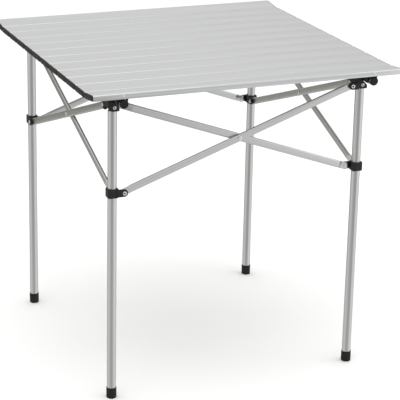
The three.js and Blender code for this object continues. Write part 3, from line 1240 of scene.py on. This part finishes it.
# --- Scissor bars and rivets ----------------------------------------------------------


def model_bar(sizes, half, plane):
    """A flat-oval tube with its two ends pressed flat against the lugs' side."""
    r = sizes.bar_height / 2
    ys = sorted((plane * sizes.bar_near, plane * (sizes.bar_near + sizes.bar_thickness)))
    bar = block((-half - r, ys[0], -r), (half + r, ys[1], r))
    edit(bar)
    pick(bar, "EDGE", lambda edge: runs(edge, Y))
    bevel(r * 0.998, 12)
    merge(CORNER_MERGE)

    def on_a_flat(edge):
        return any(abs(face.normal.y) > 0.9 for face in edge.link_faces)

    pick(bar, "EDGE", lambda edge: on_a_flat(edge) and not runs(edge, Y))
    bevel(3.1 * MM, 5)
    for from_pivot in (12 * MM, 15 * MM, 18 * MM, 24 * MM):  # cuts that the pressing bends at
        for side in (-1, 1):
            pick_all()
            plane_x = side * (half - from_pivot)
            bpy.ops.mesh.bisect(plane_co=(plane_x, 0, 0), plane_no=(1, 0, 0))
    far = plane * (sizes.bar_near + sizes.bar_thickness)
    flat = sizes.pressed / sizes.bar_thickness
    reached = 1.0
    for start, target in ((half - 19 * MM, 0.93), (half - 16 * MM, 0.7), (half - 13 * MM, flat)):
        ratio = target / reached
        for side in (-1, 1):
            pick(bar, "VERT", lambda vert: side * vert.co.x > start)
            bpy.ops.transform.resize(value=(1, ratio, 1), center_override=(0, far, 0))
        reached = target
    leave()
    for x in (-half, 0, half):
        hole = rod(sizes.rivet_radius + GAP, (x, -12 * MM, 0), (x, 12 * MM, 0), 24)
        combine(bar, hole, "DIFFERENCE")
    return bar


class FOLDINGTABLE_OT_bars(Operator):
    """Adds the eight scissor bars"""

    bl_idname = "folding_table.bars"
    bl_label = "Scissor bars"

    def execute(self, context):
        sizes = context.scene.folding_table_frame
        alloy = finish_of("Anodised tube")
        drop = upper_pivot_z() - slider_pivot_z()
        apart = (centre("leg_front_right") - centre("leg_front_left")).length
        span = apart - 2 * sizes.pivot_offset
        middle_z = (upper_pivot_z() + slider_pivot_z()) / 2
        half = math.hypot(span, drop) / 2
        for word, plane, lean in (("inner", 1, 1), ("outer", -1, -1)):
            bar = complete(model_bar(sizes, half, plane), alloy)
            tilt = Matrix.Rotation(lean * math.atan2(drop, span), 4, "Y")
            for k, side in enumerate(SIDES):
                node = f"{side}_bar_{word}"
                place = side_place(k) @ shifted(0, 0, middle_z) @ tilt
                copy_to(bar, f"{side}_scissor_{word}", place, node, "frame_tube", node)
            retire(bar)
        return {"FINISHED"}


def rivet_profile(sizes, low, high):
    """A pressed rivet from one head's outer face to the other's, with dimpled heads."""
    head, shank = sizes.rivet_head, sizes.rivet_radius
    upper = [
        (shank, high - 1.5 * MM),
        (head - 0.1 * MM, high - 1.5 * MM),
        (head, high - 1.2 * MM),
        (head * 0.93, high - 0.5 * MM),
        (head * 0.72, high - 0.08 * MM),
        (head * 0.52, high),
        (head * 0.44, high - 0.3 * MM),
        (head * 0.4, high - 2.2 * MM),
    ]
    lower = [(r, low + high - z) for r, z in reversed(upper)]
    return [*lower, *upper, (0.0, high - 2.2 * MM)]


class FOLDINGTABLE_OT_rivets(Operator):
    """Adds the rivets that the bars turn on, at their ends and where they cross"""

    bl_idname = "folding_table.rivets"
    bl_label = "Pivot rivets"

    def execute(self, context):
        sizes = context.scene.folding_table_frame
        bright = finish_of("Bright aluminium")
        far = sizes.bar_near + sizes.bar_thickness
        low = far - sizes.pressed - 0.1 * MM - 1.5 * MM
        profile = rivet_profile(sizes, low, sizes.lug_far + 1.5 * MM)
        pivot = complete(turned(profile, 32), bright, "Z")
        cross_end = far + 1.8 * MM
        cross = complete(turned(rivet_profile(sizes, -cross_end, cross_end), 32), bright, "Z")
        for k, corner in enumerate(CORNERS):
            for word, z, first in (("upper", upper_pivot_z(), 1), ("lower", slider_pivot_z(), -1)):
                body = ("leg_" if word == "upper" else "slider_") + corner
                for plane, axis in ((first, "x"), (-first, "y")):
                    # the rivet's own Z is turned to the lug's far side
                    if axis == "x":
                        x, y, turn = sizes.pivot_offset, 0, -plane
                    else:
                        x, y, turn = 0, sizes.pivot_offset, plane
                    turned_over = Matrix.Rotation(turn * math.pi / 2, 4, axis.upper())
                    place = corner_place(k) @ shifted(x, y, z) @ turned_over
                    copy_to(pivot, f"pivot_rivet_{corner}_{word}_{axis}", place, body, "rivet")
        middle_z = (upper_pivot_z() + slider_pivot_z()) / 2
        for k, side in enumerate(SIDES):
            place = side_place(k) @ shifted(0, 0, middle_z) @ Matrix.Rotation(math.pi / 2, 4, "X")
            node = side + "_cross_rivet"
            copy_to(cross, f"{side}_crossing_rivet", place, side + "_bar_inner", "rivet", node)
        retire(pivot, cross)
        return {"FINISHED"}


# --- Stage ----------------------------------------------------------------------------


def add_light(name, place, target, size, power, mirrored=True):
    """A square soft box that faces a point. Metal doesn't mirror one that only lights
    the paper."""
    lamp = bpy.data.lights.new(name, "AREA")
    lamp.shape, lamp.size, lamp.energy = "SQUARE", size, power
    holder = bpy.data.objects.new(name, lamp)
    bpy.context.collection.objects.link(holder)
    holder.location = place
    holder.rotation_mode = "QUATERNION"
    holder.rotation_quaternion = (Vector(target) - Vector(place)).to_track_quat("-Z", "Y")
    holder.visible_glossy = mirrored


def floor_material():
    """A matt white paper sweep."""
    material, tree = new_material("White paper sweep")
    white = add_node(tree, "BsdfDiffuse", values={"Color": srgb("#fdfdfc")})
    add_node(tree, "OutputMaterial", links={"Surface": white.outputs["BSDF"]})
    return material


# Round the studio from behind the table: a bearing from the camera's in degrees, positive
# to its right, and the light that low metal faces mirror from there
AROUND = (
    (-180, (0.46, 0.45, 0.41)),
    (-140, (0.18, 0.168, 0.135)),
    (-118, (0.50, 0.48, 0.44)),
    (-92, (0.98, 0.98, 0.97)),
    (-50, (0.88, 0.88, 0.88)),
    (-22, (0.42, 0.42, 0.41)),
    (0, (0.30, 0.30, 0.29)),
    (20, (0.37, 0.37, 0.37)),
    (36, (0.50, 0.50, 0.50)),
    (50, (1.10, 1.10, 1.11)),
    (75, (1.30, 1.30, 1.31)),
    (110, (1.05, 1.05, 1.05)),
    (150, (0.50, 0.49, 0.46)),
    (180, (0.46, 0.45, 0.41)),
)
# By the height of a direction, from level to straight up
ABOVE = ((0.0, 0.68), (0.22, 0.92), (0.42, 1.05), (0.7, 0.98), (1.0, 0.95))


def set_ramp(node, stops):
    """Gives a colour ramp its stops, each a position and a colour."""
    elements = node.color_ramp.elements
    while len(elements) < len(stops):
        elements.new(0.5)
    for element, (position, tint) in zip(elements, stops):
        element.position, element.color = position, (*tint, 1)


def build_world(tree, bearing):
    """A white studio: bright boxes at both sides, darker towards the camera and warmer
    and darker behind, and a bright ceiling."""
    tree.nodes.clear()
    direction = add_node(tree, "TexCoord")
    apart = add_node(tree, "SeparateXYZ", links={"Vector": direction.outputs["Generated"]})
    turned_round = add_node(
        tree,
        "VectorRotate",
        {"rotation_type": "Z_AXIS"},
        {"Angle": -bearing},
        {"Vector": direction.outputs["Generated"]},
    )
    level = add_node(tree, "SeparateXYZ", links={"Vector": turned_round.outputs["Vector"]})
    angle = add_node(
        tree,
        "Math",
        {"operation": "ARCTAN2"},
        links={0: level.outputs["Y"], 1: level.outputs["X"]},
    )
    turn = add_node(
        tree,
        "MapRange",
        values={"From Min": -math.pi, "From Max": math.pi},
        links={"Value": angle.outputs["Value"]},
    )
    around = add_node(tree, "ValToRGB", links={"Fac": turn.outputs["Result"]})
    set_ramp(around, [((degrees + 180) / 360, tint) for degrees, tint in AROUND])
    above = add_node(tree, "ValToRGB", links={"Fac": apart.outputs["Z"]})
    set_ramp(above, [(height, (light,) * 3) for height, light in ABOVE])
    horizon = add_node(
        tree,
        "MapRange",
        {"interpolation_type": "SMOOTHSTEP"},
        {"From Min": -0.12, "From Max": 0.12},
        {"Value": apart.outputs["Z"]},
    )
    depth = add_node(  # the paper near the feet lights what looks steeply down
        tree,
        "MapRange",
        values={"From Min": -0.26, "From Max": -0.36, "To Max": 0.6},
        links={"Value": apart.outputs["Z"]},
    )
    low = add_node(
        tree,
        "MixRGB",
        values={2: (0.8, 0.8, 0.78, 1)},
        links={0: depth.outputs["Result"], 1: around.outputs["Color"]},
    )
    mixed = add_node(
        tree,
        "MixRGB",
        links={0: horizon.outputs["Result"], 1: low.outputs["Color"], 2: above.outputs["Color"]},
    )
    glow = add_node(tree, "Background", links={"Color": mixed.outputs["Color"]})
    add_node(tree, "OutputWorld", links={"Surface": glow.outputs["Background"]})


class FOLDINGTABLE_OT_stage(Operator):
    """Adds the pale floor, the soft studio light and the camera"""

    bl_idname = "folding_table.stage"
    bl_label = "Stage"

    def execute(self, context):
        scene = context.scene
        deselect()
        bpy.ops.mesh.primitive_plane_add(size=60, location=(0, 0, -0.2 * MM))
        floor = context.object
        floor.name = "floor"
        apply_place()
        floor.data.materials.append(floor_material())

        world = bpy.data.worlds.new("Studio")
        scene.world = world
        world.use_nodes = True
        yaw, pitch, roll = 0.395, 0.326, -0.021  # of the camera, in radians
        build_world(world.node_tree, math.atan2(-math.cos(yaw), -math.sin(yaw)))
        floor.visible_glossy = False  # the metal mirrors the studio, not the paper

        add_light("overhead soft box", (-0.2, -0.6, 2.6), (0, 0, 0.6), 2.0, 9)
        add_light("floor soft box", (0, 0, 3.2), (0, 0, 0), 3.0, 22, mirrored=False)
        add_light("left soft box", (-2.6, -1.4, 1.7), (0, 0, 0.4), 1.4, 4)
        add_light("right soft box", (2.8, -1.2, 1.8), (0, 0, 0.4), 1.4, 11)

        camera = bpy.data.cameras.new("camera")
        holder = bpy.data.objects.new("camera", camera)
        scene.collection.objects.link(holder)
        forward = Vector(
            (math.sin(yaw) * math.cos(pitch), math.cos(yaw) * math.cos(pitch), -math.sin(pitch))
        )
        right = Vector((math.cos(yaw), -math.sin(yaw), 0))
        down = forward.cross(right)
        across = right * math.cos(roll) + down * math.sin(roll)
        upright = right * math.sin(roll) - down * math.cos(roll)
        axes = Matrix((across, upright, -forward)).transposed()
        holder.matrix_world = Matrix.Translation((-1.403, -3.437, 1.619)) @ axes.to_4x4()
        camera.sensor_width = 36
        camera.lens = 152.9
        camera.shift_x, camera.shift_y = 0.0024, -0.0385
        camera.clip_end = 100
        scene.camera = holder
        scene.view_settings.view_transform = "Standard"
        return {"FINISHED"}


# --- Panel and registration -----------------------------------------------------------

OPERATORS = (
    FOLDINGTABLE_OT_stage,
    FOLDINGTABLE_OT_slats,
    FOLDINGTABLE_OT_slat_caps,
    FOLDINGTABLE_OT_cords,
    FOLDINGTABLE_OT_rails,
    FOLDINGTABLE_OT_rail_clips,
    FOLDINGTABLE_OT_legs,
    FOLDINGTABLE_OT_brackets,
    FOLDINGTABLE_OT_eyelets,
    FOLDINGTABLE_OT_sliders,
    FOLDINGTABLE_OT_bars,
    FOLDINGTABLE_OT_rivets,
)


class FOLDINGTABLE_PT_panel(Panel):
    """Lists the sizes, the finishes and the steps of the table"""

    bl_idname = "FOLDINGTABLE_PT_panel"
    bl_label = "Folding Table"
    bl_space_type = "VIEW_3D"
    bl_region_type = "UI"
    bl_category = "Folding Table"

    def draw(self, context):
        scene = context.scene
        groups = (
            ("Tabletop", scene.folding_table_top),
            ("Rails", scene.folding_table_rails),
            ("Frame", scene.folding_table_frame),
            ("Finishes", scene.folding_table_finishes),
        )
        for title, group in groups:
            box = self.layout.box()
            box.label(text=title)
            for name in group.bl_rna.properties.keys():
                if name not in ("rna_type", "name"):
                    box.prop(group, name)
        for operator in OPERATORS:
            self.layout.operator(operator.bl_idname)


CLASSES = (TabletopSizes, RailSizes, FrameSizes, Finishes, *OPERATORS, FOLDINGTABLE_PT_panel)
GROUPS = {
    "folding_table_top": TabletopSizes,
    "folding_table_rails": RailSizes,
    "folding_table_frame": FrameSizes,
    "folding_table_finishes": Finishes,
}


def register():
    for item in CLASSES:
        bpy.utils.register_class(item)
    for name, group in GROUPS.items():
        setattr(bpy.types.Scene, name, PointerProperty(type=group))


def unregister():
    for name in GROUPS:
        delattr(bpy.types.Scene, name)
    for item in reversed(CLASSES):
        bpy.utils.unregister_class(item)


def main():
    register()
    for operator in OPERATORS:
        _, step = operator.bl_idname.split(".")
        getattr(bpy.ops.folding_table, step)()


if __name__ == "__main__":
    main()
